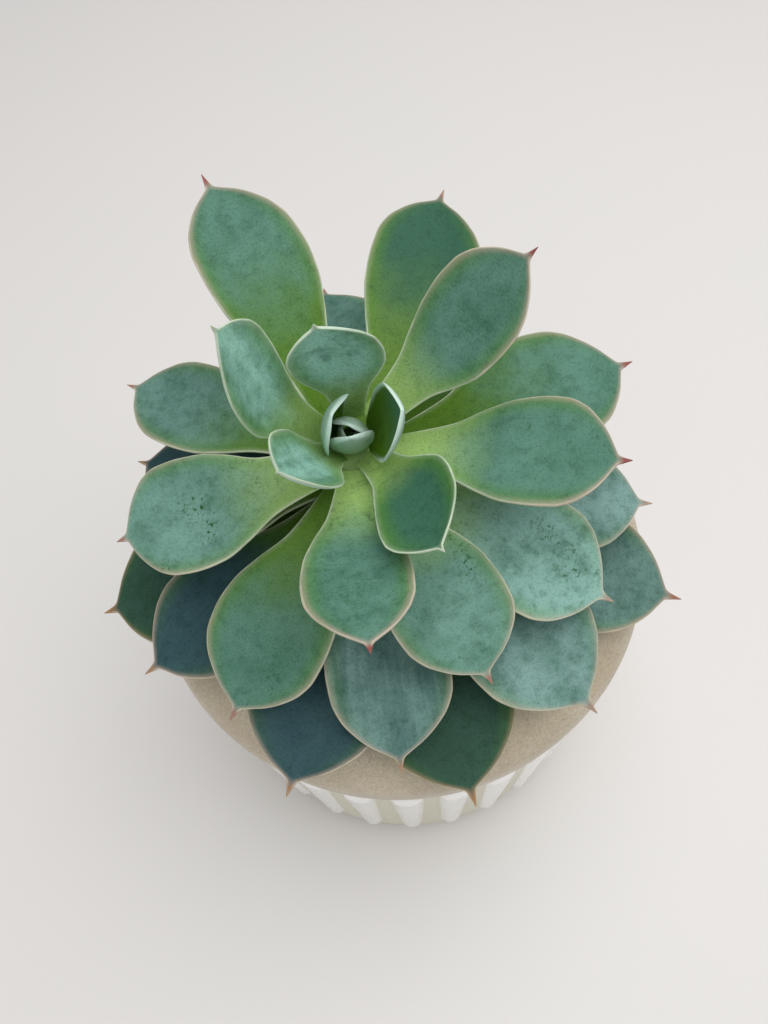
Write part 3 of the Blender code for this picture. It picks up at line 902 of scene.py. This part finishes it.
@dataclass
class Rosette:
    """The whorl of leaves: a golden-angle spiral round the stem and its nodding crown."""

    stem: Stem
    golden_angle: float = 137.5
    first_azimuth: float = 222.0
    top_leaf_height: float = 135.0
    leaf_step: float = 0.85
    stem_leaf_radius: float = 6.1
    crown: Vector = field(default_factory=lambda: Vector((-6.7, 1.5, 134.0)))
    crown_nod: float = 24.0
    crown_radius: float = 3.6
    crown_spread: float = 0.42
    crown_fall: float = 0.5
    inner_leaves: int = 5
    outline: tuple = ((0.0, 0.32), (0.15, 0.40), (0.28, 0.51), (0.42, 0.78), (0.53, 0.95), (0.64, 1.0),
                      (0.73, 0.97), (0.80, 0.85), (0.86, 0.63), (0.90, 0.42), (0.93, 0.20), (0.948, 0.08),
                      (0.97, 0.04), (1.0, 0.006))
    bud_outline: tuple = ((0.0, 0.40), (0.15, 0.66), (0.30, 0.87), (0.46, 0.98), (0.58, 1.0), (0.72, 0.94),
                          (0.84, 0.74), (0.92, 0.46), (0.97, 0.20), (1.0, 0.02))
    thickness: float = 0.10
    margin_level: float = 0.42
    edge_wave: float = 0.35
    midrib_steps: int = 200
    segments: int = 44
    stations: int = 76

    def outline_share(self, leaf: Leaf, along: Points) -> Points:
        """Return half-widths along a leaf, on a smooth curve through its outline's points."""
        outline = self.bud_outline if leaf.index < 0 else self.outline
        places = np.array([place for place, _ in outline])
        shares = np.array([share for _, share in outline])
        rates = np.diff(shares) / np.diff(places)
        slopes = np.zeros(len(places))
        before, after = rates[:-1], rates[1:]
        same_way = before * after > 0
        slopes[1:-1][same_way] = (2 * before * after / np.where(same_way, before + after, 1))[same_way]
        slopes[0], slopes[-1] = rates[0], rates[-1]
        span = np.clip(np.searchsorted(places, along, side="right") - 1, 0, len(places) - 2)
        width = places[span + 1] - places[span]
        t = (along - places[span]) / width
        return ((1 + 2 * t) * (1 - t) ** 2 * shares[span] + t * (1 - t) ** 2 * width * slopes[span]
                + t * t * (3 - 2 * t) * shares[span + 1] + t * t * (t - 1) * width * slopes[span + 1])

    def root_matrix(self, leaf: Leaf) -> Matrix:
        """Return the matrix of a leaf's foot: X outwards, Z up along the axis that it grows on."""
        azimuth = math.radians(self.first_azimuth - self.golden_angle * leaf.index + leaf.turn)
        facing = Matrix.Rotation(azimuth, 4, "Z")
        if leaf.index < self.inner_leaves:
            outward = self.crown_radius + self.crown_spread * leaf.index
            fall = -self.crown_fall * max(leaf.index, 0)
            nod = Matrix.Translation(self.crown) @ Matrix.Rotation(math.radians(self.crown_nod), 4, "X")
            return nod @ facing @ Matrix.Translation(Vector((outward, 0.0, fall)))
        foot = self.stem.axis_point(self.top_leaf_height - self.leaf_step * leaf.index)
        return Matrix.Translation(foot) @ facing @ Matrix.Translation(Vector((self.stem_leaf_radius, 0, 0)))

    def midrib_frame(self, leaf: Leaf, along: Points) -> tuple[Points, Points, Points]:
        """Follow a leaf's bending midrib.

        Args:
            leaf: The leaf to follow.
            along: Places along it, from 0 at its foot to 1 at its point.

        Returns:
            The midrib's points there, the directions to its side and the directions above it.
        """
        steps = np.linspace(0.0, 1.0, self.midrib_steps + 1)
        slope, yaw = np.radians(leaf.rise + leaf.bend * steps), np.radians(leaf.sweep * steps)
        forward = np.stack([np.cos(yaw) * np.cos(slope), np.sin(yaw) * np.cos(slope), np.sin(slope)], axis=1)
        level = np.stack([-np.sin(yaw), np.cos(yaw), np.zeros(len(steps))], axis=1)
        above = np.cross(forward, level)
        roll = math.radians(leaf.roll)
        side = level * math.cos(roll) + above * math.sin(roll)
        above = above * math.cos(roll) - level * math.sin(roll)
        midrib = np.vstack([np.zeros(3), np.cumsum(forward[:-1] * leaf.length / self.midrib_steps, axis=0)])
        return tuple(np.stack([np.interp(along, steps, line[:, axis]) for axis in range(3)], axis=1)
                     for line in (midrib, side, above))

    def bend_blank(self, leaf: Leaf, blank: Points) -> tuple[Points, Points, Points]:
        """Bend the unit tube into a leaf.

        Args:
            leaf: The leaf to shape.
            blank: The tube's vertices: across, up and along, in unit sizes.

        Returns:
            The leaf's points in the part's frame, how far along each lies and its half-width there.
        """
        across, up = blank[:, 0], blank[:, 1]
        along = 1.0 - (1.0 - blank[:, 2]) ** 1.35
        phase = leaf.index * 1.7
        half_width = self.outline_share(leaf, along) * leaf.width / 2
        ripple = np.sin(9.0 * along + phase + np.sign(across) * 1.3) * 0.018 * smooth_step(along, 0.3, 0.6)
        half_width = half_width * (1.0 + ripple * smooth_step(along, 0.97, 0.85))

        midrib, side, above = self.midrib_frame(leaf, along)
        edge_curl = math.radians(leaf.cup) * np.sqrt(np.minimum(along * 1.6, 1.0)) + 1e-4
        bend_radius = half_width / edge_curl
        curl = across * edge_curl
        depth = self.thickness * leaf.width * (0.35 + 0.65 * self.outline_share(leaf, along))
        depth = np.minimum(depth * (0.7 + 0.3 * smooth_step(along, 0.1, 0.3)), 1.5 * half_width + 0.1)
        swell = np.abs(up)
        lift = np.where(up >= 0, self.margin_level * (swell ** 0.65 - 1.0),
                        -self.margin_level - (1.0 - self.margin_level) * swell ** 0.9) * depth
        wave = self.edge_wave * np.sin(7.5 * along + phase + 2.0 * np.sign(across)) * across ** 2
        wave *= smooth_step(along, 0.3, 0.6) * smooth_step(along, 0.98, 0.85) * leaf.width / 26.0
        drift = leaf.skew * smooth_step(along, 0.45, 1.0) * leaf.width / 2
        local = (midrib + side * (bend_radius * np.sin(curl) + drift)[:, None]
                 + above * (bend_radius * (1.0 - np.cos(curl)) + lift + wave)[:, None])
        root = np.array(self.root_matrix(leaf))
        return local @ root[:3, :3].T + root[:3, 3], along, half_width

    def build_leaf(self, leaf: Leaf, finish: bpy.types.Material) -> bpy.types.Object:
        """Return one leaf with its skin's tones painted on."""
        piece = finish_piece(f"{leaf.node}_blade", unit_tube(self.segments, self.stations), finish, leaf.slot,
                             (leaf.node,), sharp_angle=80.0)
        mesh = piece.data
        blank = read_points(mesh) * MM
        points, along, half_width = self.bend_blank(leaf, blank)
        write_points(mesh, points)
        across = blank[:, 0]
        paint_vector(mesh, "blade", across, along, blank[:, 1])
        paint_vector(mesh, "skin", across * half_width, along * leaf.length, 37.0 * leaf.index)
        paint_number(mesh, "rim", (1.0 - np.abs(across)) * half_width)
        tone = leaf.skin.value
        paint_vector(mesh, "tone", tone.slate, tone.bloom, tone.blush)
        paint_vector(mesh, "wear", tone.moss, tone.scuffed, tone.fresh)
        # painted shade share for the leaf's foot
        paint_number(mesh, "hollow", np.full(len(along), tone.hollow))
        paint_number(mesh, "banded", np.full(len(along), tone.banded))
        return piece

    def build(self, finish: bpy.types.Material) -> list[bpy.types.Object]:
        """Return every leaf of the plant."""
        return [self.build_leaf(leaf, finish) for leaf in LEAVES]


# ---- Studio ----
@dataclass
class Studio:
    """Pale floor, soft light from above and the camera looking down on the plant."""

    floor_size: float = 6.0
    floor_gap: float = 0.15 * MM
    camera_place: tuple[float, float, float] = (-0.002, -0.087, 0.260)
    camera_dip: float = 60.7
    camera_roll: float = -6.8
    lens: float = 27.04
    world_strength: float = 0.52

    def build_floor(self) -> bpy.types.Object:
        """Return the floor, which isn't part of the object."""
        builder = bmesh.new()
        bmesh.ops.create_grid(builder, x_segments=8, y_segments=8, size=self.floor_size / 2)
        mesh = bpy.data.meshes.new("studio_floor")
        bmesh.ops.translate(builder, verts=builder.verts, vec=(0.0, 0.0, -self.floor_gap))
        builder.to_mesh(mesh)
        builder.free()
        mesh.materials.append(PaleFloor().build())
        floor = bpy.data.objects.new("studio_floor", mesh)
        bpy.context.scene.collection.objects.link(floor)
        return floor

    def add_light(self, name: str, place: tuple[float, float, float], size: float, power: float,
                  color: Color) -> None:
        """Add a large square lamp aimed at the plant.

        Args:
            name: Name of the lamp.
            place: Where it hangs, in metres.
            size: Length of its sides, in metres.
            power: Its power, in watts.
            color: Its color.
        """
        lamp = bpy.data.lights.new(name, "AREA")
        lamp.size = size
        lamp.energy = power
        lamp.color = color
        holder = bpy.data.objects.new(name, lamp)
        holder.location = place
        aim = Vector((0.0, 0.0, 0.1)) - Vector(place)
        holder.rotation_euler = aim.to_track_quat("-Z", "Y").to_euler()
        bpy.context.scene.collection.objects.link(holder)

    def build_world(self) -> None:
        """Fill the room with soft white light."""
        world = bpy.data.worlds.new("soft_room")
        world.use_nodes = True
        background = world.node_tree.nodes["Background"]
        background.inputs["Color"].default_value = (1.0, 0.985, 0.97, 1.0)
        background.inputs["Strength"].default_value = self.world_strength
        bpy.context.scene.world = world
        bpy.context.scene.view_settings.view_transform = "Standard"

    def build_camera(self) -> None:
        """Place the camera above and in front of the plant."""
        dip, roll = math.radians(self.camera_dip), math.radians(self.camera_roll)
        forward = Vector((0.0, math.cos(dip), -math.sin(dip)))
        upright = Vector((0.0, math.sin(dip), math.cos(dip)))
        right = Vector((1.0, 0.0, 0.0))
        side = right * math.cos(roll) + upright * math.sin(roll)
        top = upright * math.cos(roll) - right * math.sin(roll)
        camera = bpy.data.objects.new("camera", bpy.data.cameras.new("camera"))
        camera.data.lens = self.lens
        camera.data.clip_start = 0.01
        turned = Matrix((side, top, -forward)).transposed().to_4x4()
        camera.matrix_world = Matrix.Translation(Vector(self.camera_place)) @ turned
        bpy.context.scene.collection.objects.link(camera)
        bpy.context.scene.camera = camera

    def build(self) -> None:
        """Set up the whole stage."""
        self.build_floor()
        self.build_world()
        self.add_light("key_softbox", (0.24, 0.05, 0.88), 0.9, 5.9, (1.0, 0.99, 0.975))
        self.add_light("fill_softbox", (-0.45, -0.45, 0.70), 1.1, 1.0, (0.97, 0.985, 1.0))
        self.build_camera()


def main() -> None:
    """Build the stage, the pot, its soil and the plant."""
    logging.basicConfig(level=logging.INFO)
    Studio().build()
    pot = Pot()
    pot.build(Stoneware().build())
    bed = SoilBed(pot)
    mix = PottingMix()
    bed.build(mix.build())
    bed.build_grains(mix.build_grit())
    stem = Stem()
    stem.build(StemBark().build())
    leaves = Rosette(stem).build(LeafSkin().build())
    log.info("%d leaves", len(leaves))


if __name__ == "__main__":
    main()
